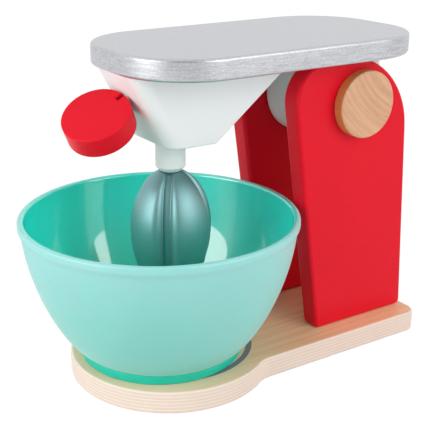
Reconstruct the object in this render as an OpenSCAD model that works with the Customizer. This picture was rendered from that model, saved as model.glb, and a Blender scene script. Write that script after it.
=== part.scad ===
// Wooden toy stand mixer.
// X runs along the mixer with the bowl at the front (-X), Z is up, and the origin lies on
// the underside of the base, straight below the whisk. All sizes are in millimetres.

/* [Base] */
// Thickness of the plywood base
base_t = 12.5; // [10:0.5:16]
// Width of the straight rear part
base_w = 90; // [84:1:104]
// Radius of the round front under the bowl
base_round_r = 55.5; // [54:0.5:62]
// Where the round front has its centre
base_round_x = -1.5; // [-6:0.5:2]
// How far the base stands out behind the panels
base_behind = 2.5; // [1.5:0.5:20]
// Radius of the two rear corners
base_rear_r = 8; // [4:0.5:16]
// Radius of the hollow where the round front runs into the straight sides
base_neck_r = 16; // [10:1:24]
// Easing of the base's edges
base_ease = 1.5; // [0.5:0.25:2.5]

/* [Column panels] */
// Thickness of a panel
panel_t = 12.5; // [11:0.5:15]
// Clear width between the two panels
panel_gap = 39; // [34:1:44]
// Where the front edge stands on the base
panel_front_foot_x = 78.5; // [76:0.5:84]
// Where the line of the front edge reaches the top
panel_front_top_x = 54.8; // [53:0.5:60]
// Where the back edge stands on the base
panel_back_foot_x = 144.5; // [138:0.5:146]
// Where the line of the back edge reaches the top
panel_back_top_x = 135.8; // [132:0.5:137]
// Radius of the front shoulder
panel_front_r = 21.5; // [15:0.5:24]
// Radius of the back shoulder
panel_back_r = 46; // [44:0.5:50]
// Easing of a panel's edges
panel_ease = 2.25; // [1:0.25:3]
// Diameter of the countersunk wood screws that hold the panels
screw_d = 4; // [3:0.5:5]
// Length of those screws
screw_l = 32; // [26:1:40]
// Distance between the two screws of a panel
screw_pitch = 38; // [30:1:44]
// How deep a screw's head is sunk below the base's underside
screw_sink = 0.4; // [0.2:0.1:1]

/* [Hinge] */
// Where the hinge axle stands along the mixer
pivot_x = 101.5; // [98:0.5:104]
// How far the axle lies below the top plate's underside
pivot_drop = 25.6; // [25:0.2:30]
// Diameter of the wooden axle
axle_d = 14; // [10:0.5:16]
// Diameter of the wooden hinge caps
cap_d = 37; // [30:0.5:40]
// Thickness of a hinge cap
cap_t = 7; // [5.5:0.5:9]
// Easing of a hinge cap's edges
cap_ease = 0.8; // [0.4:0.1:1.5]
// How far the axle goes into a cap
cap_seat = 4; // [3:0.5:4.5]
// Radius of the hinge block's round underside
hinge_block_r = 25.4; // [22:0.2:27]
// Thickness of the friction washers beside the hinge block
washer_t = 0.8; // [0.6:0.1:1.4]
// Diameter of those washers
washer_d = 30; // [24:1:36]

/* [Top plate] */
// Height of the plate's underside above the table
plate_z = 169.3; // [166:0.5:180]
// Thickness of the plate
plate_t = 11.2; // [9:0.2:14]
// Where the plate begins at the front
plate_front_x = -35; // [-42:0.5:-34]
// Where the plate ends at the back
plate_back_x = 141; // [134:0.5:150]
// Width of the plate
plate_w = 96.5; // [90:0.5:104]
// Radius of the plate's corners
plate_corner_r = 38; // [20:0.5:44]
// Easing of the plate's edges
plate_ease = 1.75; // [1:0.25:2.5]

/* [Head block] */
// Width of the head block
head_w = 44; // [40:0.5:50]
// Height of the head block
head_h = 38.3; // [36:0.5:42]
// Where the bottom begins at the front
head_bottom_front_x = -12.5; // [-14:0.5:-11]
// Where the bottom ends at the back
head_bottom_back_x = 14.5; // [12:0.5:18]
// Where the top begins at the front
head_top_front_x = -32.8; // [-34:0.2:-31]
// Where the top ends at the back
head_top_back_x = 63; // [58:0.5:66]
// Radius of the two front corners
head_corner_r = 8; // [5:0.5:11]
// Diameter of the dowels that fix the plate
dowel_d = 6; // [5:0.5:7]
// How far a dowel goes into the plate
dowel_up = 7; // [5:0.5:7.5]
// How far a dowel goes into the block below
dowel_down = 9; // [6:0.5:10]
// Distance of a dowel from the sides of its block
dowel_edge = 9; // [7:0.5:11]
// Wood left between the gear pocket and the front dowels
dowel_wood = 6; // [4:0.5:8]
// Distance of the rear dowels from the top's back end
dowel_back = 18; // [16:0.5:22]

/* [Whisk] */
// Diameter of the collar under the head
collar_d = 16; // [13:0.5:20]
// Length of the collar that shows
collar_h = 17; // [13:0.5:20]
// Diameter of the collar's spigot in the head
spigot_d = 11; // [9:0.5:12]
// Length of that spigot
spigot_h = 6; // [4:0.5:9]
// Bevel at the collar's lower edge
collar_bevel = 2.4; // [1:0.2:4]
// Largest radius of the whisk
whisk_r = 22.2; // [20:0.2:26]
// Height of the whisk above its widest place
whisk_up_h = 31; // [26:0.5:34]
// Height of the whisk below its widest place
whisk_down_h = 39; // [34:0.5:44]
// Radius of the whisk's round neck
whisk_neck_r = 6; // [5:0.2:7.5]
// Width of the whisk's four grooves
groove_w = 3.3; // [2.6:0.1:4]
// Depth of those grooves
groove_d = 2; // [1.4:0.1:2.2]
// How far the whisk is turned at rest
whisk_rest_turn = 51; // [0:1:90]
// Diameter of the steel spindles
spindle_d = 5; // [4:0.25:6]
// How far the spindle goes into the whisk
spindle_seat = 22; // [16:1:28]

/* [Turn knob] */
// Diameter of the knob
knob_d = 35.8; // [32:0.2:38]
// Thickness of the knob
knob_t = 11.8; // [9:0.2:13]
// Height of the knob's axis on the head's front, above the head's bottom
knob_rise = 22.8; // [20.8:0.2:22.8]
// Easing of the knob's edges
knob_ease = 0.5; // [0.2:0.1:1.5]
// How far the knob is turned at rest
knob_rest_turn = -19; // [-40:1:40]
// Length of the knob's slot
slot_l = 4.6; // [4:0.2:8]
// Thickness of the flattened spindle end in the slot
tongue_t = 2.2; // [1.6:0.1:2.6]

/* [Bevel gears] */
// Number of teeth on each gear
gear_teeth = 12; // [10:1:14]
// Pitch radius at the gears' large end
gear_pitch_r = 8.5; // [8:0.1:8.8]
// Length of the teeth along the gear's axis
gear_face = 5.4; // [4:0.2:6]
// Length of a gear's hub
gear_hub = 1.6; // [1.2:0.2:2.4]
// Step from the tooth roots in to the hub
gear_step = 0.6; // [0.3:0.1:1]
// Height of a tooth above the pitch circle, in modules
tooth_rise = 0.8; // [0.6:0.05:0.85]
// Depth of a tooth below the pitch circle, in modules
tooth_drop = 1.05; // [0.95:0.05:1.15]
// Half the width of a tooth at its root, in modules
tooth_root = 1.05; // [1:0.01:1.12]
// Half the width of a tooth at its tip, in modules
tooth_tip = 0.38; // [0.25:0.01:0.42]
// Thickness of the washers behind the gears
gear_washer_t = 0.8; // [0.6:0.1:1.2]
// Room left around a gear
gear_room = 1.4; // [1:0.1:1.6]

/* [Bowl] */
// Radius of the bowl's rim
bowl_r = 75; // [68:0.5:76]
// Height of the bowl
bowl_h = 78.8; // [72:0.2:84]
// Gap between the bowl's rim and the column panels
bowl_gap = 1.35; // [0.8:0.05:3]
// Thickness of the bowl's wall
bowl_wall = 2.4; // [1.8:0.1:3.2]
// Outer radius of the foot ring
foot_r = 44.5; // [38:0.5:46]
// Height of the foot ring
foot_h = 4.5; // [3:0.5:6]
// Wall of the foot ring
foot_wall = 3; // [2.2:0.1:4]
// Bevel at the foot ring's upper edge
foot_bevel = 1; // [0.5:0.1:1.5]
// How far the floor runs out before it turns up
floor_run = 11; // [7:0.5:15]
// Height at which the wall has turned upright
turn_h = 45.7; // [38:0.1:52]
// How far the rim's lip stands out
lip_out = 1.2; // [0.6:0.1:2]
// Height of the rim's lip
lip_h = 4; // [2.5:0.5:6]
// Bevel at the lip's upper edge
lip_bevel = 0.6; // [0.3:0.1:1]

/* [Fits] */
// Radial clearance of a turning fit
turn_fit = 0.06; // [0.03:0.01:0.1]
// Radial clearance of a glued or pressed fit
glue_fit = 0.04; // [0.02:0.01:0.08]
// Clearance left at the bottom of a blind hole
end_gap = 0.5; // [0.3:0.1:1]
// Side clearance of the hinge block and washers
side_gap = 0.15; // [0.1:0.05:0.3]
// Gap between the plate and the panels that it rests on
rest_gap = 0.3; // [0.2:0.05:0.5]
// Gap between the knob's rim and the head's front
knob_gap = 0.8; // [0.5:0.1:1.5]
// Gap between the collar and the whisk
whisk_gap = 0.4; // [0.3:0.1:0.8]
// Play between meshing teeth
backlash = 0.35; // [0.3:0.05:0.45]

/* [Hidden] */
$fn = 96;
through = 1;
seam = 0.02;
edge_flat = 0.75;

// Column
base_rear_x = panel_back_foot_x + base_behind;
panel_top = plate_z - rest_gap;
panel_mid_y = panel_gap / 2 + panel_t / 2;
panel_out_y = panel_gap / 2 + panel_t;
panel_foot_mid_x = (panel_front_foot_x + panel_back_foot_x) / 2;
panel_outline = [[panel_front_foot_x, base_t], [panel_back_foot_x, base_t],
    [panel_back_top_x, panel_top], [panel_front_top_x, panel_top]];
panel_radii = [0, 0, panel_back_r, panel_front_r];
screw_head_d = 2 * screw_d;
screw_head_h = screw_d / 2;

// Hinge
pivot_z = plate_z - pivot_drop;
hinge_block_w = panel_gap - 2 * washer_t - 4 * side_gap;
axle_l = 2 * (panel_out_y + cap_seat);

// Head
head_z = plate_z - head_h;
front_slope = atan2(head_bottom_front_x - head_top_front_x, head_h);
knob_face_z = head_z + knob_rise;
knob_face_x = head_bottom_front_x - knob_rise * tan(front_slope);
apex_z = knob_face_z - knob_face_x * tan(front_slope);
knob_wall = -knob_face_x / cos(front_slope);

// Gears. Both pitch cones have their tip where the knob's axis meets the whisk's axis.
pitch_angle = (90 - front_slope) / 2;
gear_module = 2 * gear_pitch_r / gear_teeth;
gear_reach = gear_pitch_r / tan(pitch_angle);
gear_tip_r = gear_pitch_r + tooth_rise * gear_module;
gear_root_r = gear_pitch_r - tooth_drop * gear_module;
gear_hub_r = gear_root_r - gear_step;
gear_pocket_r = gear_tip_r + gear_room;
gear_seat = gear_reach + gear_hub + gear_washer_t + 2 * side_gap;
gear_small = 1 - gear_face / gear_reach;
gear_washer_r = gear_root_r;

// Dowels
head_dowel_x = [gear_pocket_r + dowel_wood + dowel_d / 2, head_top_back_x - dowel_back];
head_dowel_y = head_w / 2 - dowel_edge;
hinge_dowel_dx = hinge_block_r - dowel_edge;
hinge_dowel_y = hinge_block_w / 2 - dowel_edge;

// Whisk
collar_bottom_z = head_z - collar_h;
whisk_top_z = collar_bottom_z - whisk_gap;
whisk_mid_z = whisk_top_z - whisk_up_h;
spindle_top_z = apex_z - gear_reach + gear_face;

whisk_low_steps = 12;
whisk_high_steps = 9;

// Bowl
bowl_body_r = bowl_r - lip_out;
panel_lean = (panel_front_foot_x - panel_front_top_x) / (panel_top - base_t);
bowl_back_x = panel_front_foot_x - bowl_h * panel_lean - bowl_gap;
bowl_x = bowl_back_x - sqrt(pow(bowl_r, 2) - pow(panel_gap / 2, 2));
foot_weld = 0.5;
bowl_steps = 20;

// Colours
plywood = "#d9b48c";
red = "#e3182c";
natural = "#d9a583";
white = "#eef2f1";
silver = "#c9cbce";
teal = "#8fd6c9";
steel = "#b9bdc2";
nylon = "#efece2";

// Shared shapes

// Edge profile of a slab: from the middle out to a rounded edge at reach r.
function ease_points(r, t, e, n = 3) = concat(
    [[0, 0]],
    [for (i = [0 : n]) [r - e + e * sin(90 * i / n), e - e * cos(90 * i / n)]],
    [for (i = [0 : n]) [r - e + e * cos(90 * i / n), t - e + e * sin(90 * i / n)]],
    [[0, t]]);

function unit(v) = v / norm(v);
function corner_bisect(p, i) = let (n = len(p))
    unit(unit(p[(i + 1) % n] - p[i]) + unit(p[(i + n - 1) % n] - p[i]));
function corner_half(p, i) = let (n = len(p), a = unit(p[(i + 1) % n] - p[i]))
    acos(a * corner_bisect(p, i));
function corner_centre(p, r, i) = p[i] + corner_bisect(p, i) * r[i] / sin(corner_half(p, i));

function edge_angle(p, i) = let (n = len(p), d = p[(i + 1) % n] - p[i % n]) atan2(d[1], d[0]);

// Convex slab with rounded corners and eased edges, lying on the XY plane: the hull of its corners,
// which run anticlockwise. A corner takes at least the easing as its radius.
module eased_slab(corners, radii, t, ease) {
    n = len(corners);
    r = [for (v = radii) max(v, ease + edge_flat)];
    hull() for (i = [0 : n - 1]) {
        c = corner_centre(corners, r, i);
        translate([c[0], c[1], 0]) rotate([0, 0, edge_angle(corners, i + n - 1) - 90])
            rotate_extrude(angle = 180 - 2 * corner_half(corners, i), $fn = 64)
                polygon(ease_points(r[i], t, ease));
    }
}

// Disc along Z with both edges eased.
module eased_disc(r, t, ease) {
    rotate_extrude() polygon(ease_points(r, t, ease));
}

// Cutter along Z for a hollow edge of radius r, which leaves both edges eased.
module eased_hollow(r, t, ease, n = 3) {
    rotate_extrude() polygon(concat([[0, -through], [r + ease, -through]],
        [for (i = [0 : n]) [r + ease - ease * sin(90 * i / n), ease - ease * cos(90 * i / n)]],
        [for (i = [0 : n]) [r + ease - ease * cos(90 * i / n), t - ease + ease * sin(90 * i / n)]],
        [[r + ease, t + through], [0, t + through]]));
}

// Plain dowel along Z with a small bevel at both ends.
module dowel(d, l) {
    bevel = d / 8;
    rotate_extrude() polygon([[0, 0], [d / 2 - bevel, 0], [d / 2, bevel], [d / 2, l - bevel],
        [d / 2 - bevel, l], [0, l]]);
}

// Bore along Z for a part of diameter d.
module bore(d, l, fit) {
    cylinder(d = d + 2 * fit, h = l);
}

// Washer along Z around a shaft.
module washer(r, shaft_d, t) {
    difference() {
        cylinder(r = r, h = t);
        translate([0, 0, -through]) bore(shaft_d, t + 2 * through, turn_fit);
    }
}

// Places what is drawn along Z on the hinge axis, with Z turned towards +Y.
module at_pivot() {
    translate([pivot_x, 0, pivot_z]) rotate([-90, 0, 0]) children();
}

// Places what is drawn along Z on the knob's axis, starting at the head's front and pointing out.
module at_knob() {
    translate([knob_face_x, 0, knob_face_z]) rotate([0, -90 - front_slope, 0]) children();
}

// Dowels between the plate and a block below it.
module plate_dowels(places) {
    for (p = places) translate([p[0], p[1], plate_z - dowel_down]) dowel(dowel_d, dowel_up + dowel_down);
}

module plate_dowel_holes(places) {
    for (p = places)
        translate([p[0], p[1], plate_z - dowel_down - end_gap])
            bore(dowel_d, dowel_up + dowel_down + 2 * end_gap, glue_fit);
}

function head_dowel_places() = [for (x = head_dowel_x, s = [-1, 1]) [x, s * head_dowel_y]];
function hinge_dowel_places() = [for (d = [-1, 1], s = [-1, 1])
    [pivot_x + d * hinge_dowel_dx, s * hinge_dowel_y]];
function screw_places() = [for (d = [-1, 1], s = [-1, 1])
    [panel_foot_mid_x + d * screw_pitch / 2, s * panel_mid_y]];
function panel_dowel_places() = [for (s = [-1, 1]) [panel_foot_mid_x, s * panel_mid_y]];

// Frame

// Fills the corner between the round front and a straight side, hollowed and eased like the other edges.
module base_neck(side) {
    middle = [base_round_x, 0];
    centre_y = base_w / 2 + base_neck_r;
    centre_x = base_round_x + sqrt(pow(base_round_r + base_neck_r, 2) - pow(centre_y, 2));
    centre = [centre_x, side * centre_y];
    difference() {
        linear_extrude(base_t) polygon([(middle + centre) / 2, [centre_x, centre[1] / 2], centre]);
        translate([centre[0], centre[1], 0]) eased_hollow(base_neck_r + 2 * seam, base_t, base_ease);
    }
}

module base_board() {
    color(plywood) difference() {
        union() {
            translate([base_round_x, 0, 0]) eased_disc(base_round_r, base_t, base_ease);
            eased_slab([[base_neck_r, -base_w / 2], [base_rear_x, -base_w / 2], [base_rear_x, base_w / 2],
                [base_neck_r, base_w / 2]], [0, base_rear_r, base_rear_r, 0], base_t, base_ease);
            for (side = [-1, 1]) base_neck(side);
        }
        screw_holes();
        panel_dowel_holes();
    }
}

// Countersunk screw along Z, grown all round by fit.
module screw_shape(fit, l) {
    cylinder(d1 = screw_head_d + 2 * fit, d2 = screw_d + 2 * fit, h = screw_head_h);
    bore(screw_d, l, fit);
}

module screw_holes() {
    for (p = screw_places()) translate([p[0], p[1], screw_sink]) {
        screw_shape(glue_fit, screw_l + end_gap);
        translate([0, 0, -screw_sink - through]) bore(screw_head_d, screw_sink + through, glue_fit);
    }
}

module panel_screws() {
    color(steel) for (p = screw_places()) translate([p[0], p[1], screw_sink]) screw_shape(0, screw_l);
}

module panel_dowels() {
    color(natural) for (p = panel_dowel_places())
        translate([p[0], p[1], base_t - dowel_up]) dowel(dowel_d, dowel_up + dowel_down);
}

module panel_dowel_holes() {
    for (p = panel_dowel_places())
        translate([p[0], p[1], base_t - dowel_up - end_gap])
            bore(dowel_d, dowel_up + dowel_down + 2 * end_gap, glue_fit);
}

module column_panel(side) {
    color(red) difference() {
        translate([0, side * panel_mid_y + panel_t / 2, 0]) rotate([90, 0, 0])
            eased_slab(panel_outline, panel_radii, panel_t, panel_ease);
        at_pivot() translate([0, 0, -panel_out_y - through])
            bore(axle_d, 2 * (panel_out_y + through), glue_fit);
        screw_holes();
        panel_dowel_holes();
    }
}

module column_panel_near() {
    column_panel(-1);
}

module column_panel_far() {
    column_panel(1);
}

module hinge_axle() {
    color(natural) at_pivot() translate([0, 0, -axle_l / 2]) dowel(axle_d, axle_l);
}

module hinge_cap(side) {
    color(natural) at_pivot() mirror([0, 0, side < 0 ? 1 : 0]) difference() {
        translate([0, 0, panel_out_y]) eased_disc(cap_d / 2, cap_t, cap_ease);
        translate([0, 0, panel_out_y - through]) bore(axle_d, cap_seat + end_gap + through, glue_fit);
    }
}

module hinge_cap_near() {
    hinge_cap(-1);
}

module hinge_cap_far() {
    hinge_cap(1);
}

module hinge_washers() {
    color(nylon) for (side = [0, 1]) at_pivot() mirror([0, 0, side])
        translate([0, 0, panel_gap / 2 - side_gap - washer_t]) washer(washer_d / 2, axle_d, washer_t);
}

// Bowl

// Outer side of the bowl's wall, from the foot up to the rim, as a Bezier curve.
function bowl_curve(s) = let (u = 1 - s, r0 = foot_r - foot_wall,
    k = [[r0, foot_h], [r0 + floor_run, foot_h], [bowl_body_r, turn_h], [bowl_body_r, bowl_h]])
    u * u * u * k[0] + 3 * s * u * u * k[1] + 3 * s * s * u * k[2] + s * s * s * k[3];
function bowl_normal(s) = let (d = bowl_curve(s + 0.01) - bowl_curve(s - 0.01)) unit([-d[1], d[0]]);
function bowl_inner(s) = bowl_curve(s) + bowl_wall * bowl_normal(s);

module bowl() {
    outer = [for (i = [0 : bowl_steps]) bowl_curve(i / bowl_steps)];
    inner = [for (i = [bowl_steps : -1 : 1]) bowl_inner(i / bowl_steps)];
    color(teal) translate([bowl_x, 0, base_t]) rotate_extrude() {
        polygon(concat([[0, foot_h]], outer, [[bowl_body_r - bowl_wall, bowl_h]],
            [for (p = inner) [min(p[0], bowl_body_r - bowl_wall), min(p[1], bowl_h)]],
            [[0, foot_h + bowl_wall]]));
        polygon([[bowl_body_r - lip_out, bowl_h - lip_h - lip_out], [bowl_r, bowl_h - lip_h],
            [bowl_r, bowl_h - lip_bevel], [bowl_r - lip_bevel, bowl_h],
            [bowl_body_r - lip_out, bowl_h]]);
        polygon([[foot_r - foot_wall, 0], [foot_r, 0], [foot_r, foot_h - foot_bevel],
            [foot_r - foot_bevel, foot_h + foot_weld], [foot_r - foot_wall, foot_h + foot_weld]]);
    }
}

// Head

module top_plate() {
    color(silver) difference() {
        translate([0, 0, plate_z])
            eased_slab([[plate_front_x, -plate_w / 2], [plate_back_x, -plate_w / 2],
                [plate_back_x, plate_w / 2], [plate_front_x, plate_w / 2]],
                [for (i = [0 : 3]) plate_corner_r], plate_t, plate_ease);
        plate_dowel_holes(head_dowel_places());
        plate_dowel_holes(hinge_dowel_places());
    }
}

// Trapezium seen from the side, carried past the front so that the front face can be cut round.
module head_side() {
    past_front = head_top_front_x - head_h;
    translate([0, head_w / 2 + through, 0]) rotate([90, 0, 0]) linear_extrude(head_w + 2 * through)
        polygon([[past_front, head_z], [head_bottom_back_x, head_z], [head_top_back_x, plate_z],
            [past_front, plate_z]]);
}

// Leaning prism with a flat front and two round front corners.
module head_front() {
    depth = 2 * (head_top_back_x - head_top_front_x);
    reach = head_w / 2 - head_corner_r;
    translate([head_bottom_front_x, 0, head_z]) rotate([0, -front_slope, 0])
        translate([0, 0, -head_h]) linear_extrude(3 * head_h) {
            translate([head_corner_r, -head_w / 2]) square([depth, head_w]);
            translate([0, -reach]) square([depth, 2 * reach]);
            for (s = [-1, 1]) translate([head_corner_r, s * reach]) circle(head_corner_r);
        }
}

// Room for the two gears, open at the top under the plate.
module gear_pocket() {
    translate([0, 0, apex_z - gear_seat]) cylinder(r = gear_pocket_r, h = gear_seat + head_h);
    at_knob() translate([0, 0, -knob_wall]) cylinder(r = gear_pocket_r, h = gear_seat);
}

module head_block() {
    color(white) difference() {
        intersection() {
            head_side();
            head_front();
        }
        gear_pocket();
        translate([0, 0, head_z - through]) bore(spindle_d, head_h, turn_fit);
        translate([0, 0, head_z - through]) bore(spigot_d, spigot_h + end_gap + through, glue_fit);
        at_knob() translate([0, 0, -knob_wall]) bore(spindle_d, knob_wall + through, turn_fit);
        plate_dowel_holes(head_dowel_places());
    }
}

module hinge_block() {
    color(white) difference() {
        union() {
            at_pivot() translate([0, 0, -hinge_block_w / 2]) cylinder(r = hinge_block_r, h = hinge_block_w);
            translate([pivot_x - hinge_block_r, -hinge_block_w / 2, pivot_z])
                cube([2 * hinge_block_r, hinge_block_w, pivot_drop]);
        }
        at_pivot() translate([0, 0, -hinge_block_w / 2 - through])
            bore(axle_d, hinge_block_w + 2 * through, turn_fit);
        plate_dowel_holes(hinge_dowel_places());
    }
}

module head_dowels() {
    color(natural) plate_dowels(head_dowel_places());
}

module hinge_dowels() {
    color(natural) plate_dowels(hinge_dowel_places());
}

module whisk_collar() {
    color(white) difference() {
        translate([0, 0, collar_bottom_z]) rotate_extrude()
            polygon([[0, 0], [collar_d / 2 - collar_bevel, 0], [collar_d / 2, collar_bevel],
                [collar_d / 2, collar_h], [spigot_d / 2, collar_h], [spigot_d / 2, collar_h + spigot_h],
                [0, collar_h + spigot_h]]);
        translate([0, 0, collar_bottom_z - through])
            bore(spindle_d, collar_h + spigot_h + 2 * through, turn_fit);
    }
}

module whisk_washer() {
    color(nylon) translate([0, 0, apex_z - gear_seat + side_gap / 2])
        washer(gear_washer_r, spindle_d, gear_washer_t);
}

module knob_washer() {
    color(nylon) at_knob() translate([0, 0, gear_seat - knob_wall - gear_washer_t - side_gap / 2])
        washer(gear_washer_r, spindle_d, gear_washer_t);
}

// Drive

// Bevel gear along Z: large end at height 0, teeth narrowing upwards, hub below.
// Each tooth is a little narrower than its gap, for the backlash.
module bevel_gear(tooth_first) {
    pitch = 360 / gear_teeth;
    side = backlash / 4;
    half = function (r, width) atan2(width, r);
    at_root = half(gear_root_r, gear_module * tooth_root - side);
    at_pitch = half(gear_pitch_r, gear_module * PI / 4 - side);
    at_tip = half(gear_tip_r, gear_module * tooth_tip - side);
    teeth = [for (i = [0 : gear_teeth - 1]) let (a = pitch * (i + (tooth_first ? 0 : 0.5))) each [
        for (k = [[gear_root_r, -at_root], [gear_pitch_r, -at_pitch], [gear_tip_r, -at_tip],
            [gear_tip_r, at_tip], [gear_pitch_r, at_pitch], [gear_root_r, at_root]])
            k[0] * [cos(a + k[1]), sin(a + k[1])]]];
    difference() {
        union() {
            linear_extrude(gear_face, scale = gear_small) polygon(teeth);
            translate([0, 0, -gear_hub]) cylinder(r = gear_hub_r, h = gear_hub + gear_step);
        }
        translate([0, 0, -gear_hub - through]) bore(spindle_d, gear_hub + gear_face + 2 * through, glue_fit);
    }
}

// Outline of the whisk: a half ellipse up to the neck and a longer half ellipse down to the tip.
function whisk_upper(i) = let (top = acos(whisk_neck_r / whisk_r), a = top * i / whisk_high_steps)
    [whisk_r * cos(a), whisk_up_h * sin(a) / sin(top)];
function whisk_lower(i) = let (a = 90 * i / whisk_low_steps) [whisk_r * sin(a), -whisk_down_h * cos(a)];

// Turned egg, drawn in by cut, from a flat tip at one of its lower steps to above the neck.
module whisk_egg(first, cut, above) {
    line = concat([for (i = [first : whisk_low_steps]) whisk_lower(i) - [cut, 0]],
        [for (i = [1 : whisk_high_steps]) whisk_upper(i) - [cut, 0]]);
    neck = [whisk_neck_r - cut, whisk_up_h + above];
    rotate_extrude() polygon(concat([[0, line[0][1]]], line, above > 0 ? [neck] : [], [[0, neck[1]]]));
}

// Crossed slots around the egg's core.
module whisk_grooves() {
    reach = whisk_r + through;
    low = -whisk_down_h - through;
    difference() {
        for (a = [0, 90]) rotate([0, 0, a]) translate([-reach, -groove_w / 2, low])
            cube([2 * reach, groove_w, whisk_up_h - low + through]);
        whisk_egg(2, groove_d, 2 * through);
    }
}

module whisk() {
    color(silver) difference() {
        translate([0, 0, whisk_mid_z]) rotate([0, 0, whisk_rest_turn]) difference() {
            whisk_egg(1, 0, 0);
            whisk_grooves();
        }
        translate([0, 0, whisk_top_z - spindle_seat - end_gap])
            bore(spindle_d, spindle_seat + end_gap + through, glue_fit);
    }
}

module whisk_spindle() {
    bottom = whisk_top_z - spindle_seat;
    color(steel) translate([0, 0, bottom]) dowel(spindle_d, spindle_top_z - bottom);
}

module whisk_gear() {
    color(nylon) translate([0, 0, apex_z - gear_reach]) bevel_gear(false);
}

module knob_gear() {
    color(nylon) at_knob() translate([0, 0, gear_reach - knob_wall]) mirror([0, 0, 1]) bevel_gear(true);
}

// Places what is drawn flat on the XY plane, with its rim's lowest point on the knob's axis.
module at_disc() {
    at_knob() rotate([0, 0, knob_rest_turn]) translate([0, 0, knob_gap + knob_d / 2]) rotate([0, 90, 0])
        children();
}

module turn_knob() {
    slot_w = tongue_t + 2 * glue_fit;
    color(red) at_disc() difference() {
        translate([0, 0, -knob_t / 2]) eased_disc(knob_d / 2, knob_t, knob_ease);
        translate([knob_d / 2 - slot_l, -slot_w / 2, -knob_t / 2 - through])
            cube([slot_l + through, slot_w, knob_t + 2 * through]);
    }
}

module knob_spindle() {
    inner = gear_reach - gear_face - knob_wall;
    color(steel) {
        at_knob() translate([0, 0, inner]) cylinder(d = spindle_d, h = knob_gap / 2 - inner);
        intersection() {
            at_knob() translate([0, 0, -through])
                cylinder(d = spindle_d, h = through + knob_gap + slot_l - end_gap);
            at_disc() translate([knob_d / 2 - slot_l, -tongue_t / 2, -spindle_d])
                cube([slot_l + knob_gap + through, tongue_t, 2 * spindle_d]);
        }
    }
}

base_board();
column_panel_near();
column_panel_far();
panel_screws();
panel_dowels();
hinge_axle();
hinge_cap_near();
hinge_cap_far();
hinge_washers();
bowl();
top_plate();
head_block();
hinge_block();
head_dowels();
hinge_dowels();
whisk_collar();
whisk_washer();
knob_washer();
whisk();
whisk_spindle();
whisk_gear();
turn_knob();
knob_spindle();
knob_gear();
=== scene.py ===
"""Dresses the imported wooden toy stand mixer.

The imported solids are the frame. The pieces that show are rebuilt here with softened edges and smooth
curves, every piece gets its finish, and the floor, the light and the camera follow the photograph.
Sizes of pieces and patterns are in millimetres, and those of the studio in metres.
"""

import logging
import math
from collections.abc import Mapping, Sequence
from dataclasses import dataclass
from enum import Enum

import bmesh
import bpy
from mathutils import Matrix, Vector


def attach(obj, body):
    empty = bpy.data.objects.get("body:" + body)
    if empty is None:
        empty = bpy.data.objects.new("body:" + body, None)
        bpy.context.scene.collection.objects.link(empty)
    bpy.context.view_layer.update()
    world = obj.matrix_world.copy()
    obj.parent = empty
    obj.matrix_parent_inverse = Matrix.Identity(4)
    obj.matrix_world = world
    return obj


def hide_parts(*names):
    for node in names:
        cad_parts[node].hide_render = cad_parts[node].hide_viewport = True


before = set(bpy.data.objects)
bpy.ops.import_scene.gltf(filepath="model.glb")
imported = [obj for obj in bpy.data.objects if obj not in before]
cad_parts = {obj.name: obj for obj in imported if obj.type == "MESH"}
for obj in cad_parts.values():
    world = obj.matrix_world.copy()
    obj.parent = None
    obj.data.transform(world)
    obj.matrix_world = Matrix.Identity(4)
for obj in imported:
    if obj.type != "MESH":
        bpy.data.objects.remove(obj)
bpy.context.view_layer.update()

MM = 0.001
SHARP_EDGE = math.radians(32)
log = logging.getLogger("mixer")

Point = tuple[float, float]
Triple = tuple[float, float, float]
Tree = bpy.types.NodeTree
Node = bpy.types.Node
Socket = bpy.types.NodeSocket
Mesh = bmesh.types.BMesh


class Side(Enum):
    """Side of the mixer, as the sign of Y."""

    NEAR = -1
    FAR = 1


# Node and colour helpers

def linear(colour: str) -> tuple[float, float, float, float]:
    """Turn an sRGB hex value into a linear colour.

    Args:
        colour: Value such as "#e3182c".

    Returns:
        Red, green, blue and an alpha of one.
    """
    parts = [int(colour[i:i + 2], 16) / 255 for i in (1, 3, 5)]
    r, g, b = (c / 12.92 if c <= 0.04045 else ((c + 0.055) / 1.055) ** 2.4 for c in parts)
    return r, g, b, 1.0


def per_metre(size: float) -> float:
    """Return the pattern scale for a feature of a size in millimetres."""
    return 1 / (size * MM)


def add_node(tree: Tree, kind: str, inputs: Mapping[str | int, object] | None = None,
             **settings: object) -> Node:
    """Add a shader node with its settings, values and links.

    Args:
        tree: Node tree that receives the node.
        kind: Node type without its ShaderNode prefix.
        inputs: Socket values by name or number. A socket given as a value is linked.
        settings: Properties of the node.

    Returns:
        The new node.
    """
    node = tree.nodes.new("ShaderNode" + kind)
    for key, value in settings.items():
        setattr(node, key, value)
    for key, value in (inputs or {}).items():
        if isinstance(value, Socket):
            tree.links.new(value, node.inputs[key])
        else:
            node.inputs[key].default_value = value
    return node


def blend(tree: Tree, share: Socket, first: object, second: object) -> Socket:
    """Blend two colours, each given as a value or as a socket.

    Args:
        tree: Node tree that receives the node.
        share: Share of the second colour, from zero to one.
        first: Colour at a share of zero.
        second: Colour at a share of one.

    Returns:
        The blended colour.
    """
    # The Mix node's colours go by number, because its other kinds have the same names.
    factor, colour_a, colour_b, result = 0, 6, 7, 2
    node = add_node(tree, "Mix", {factor: share, colour_a: first, colour_b: second}, data_type="RGBA")
    return node.outputs[result]


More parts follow.
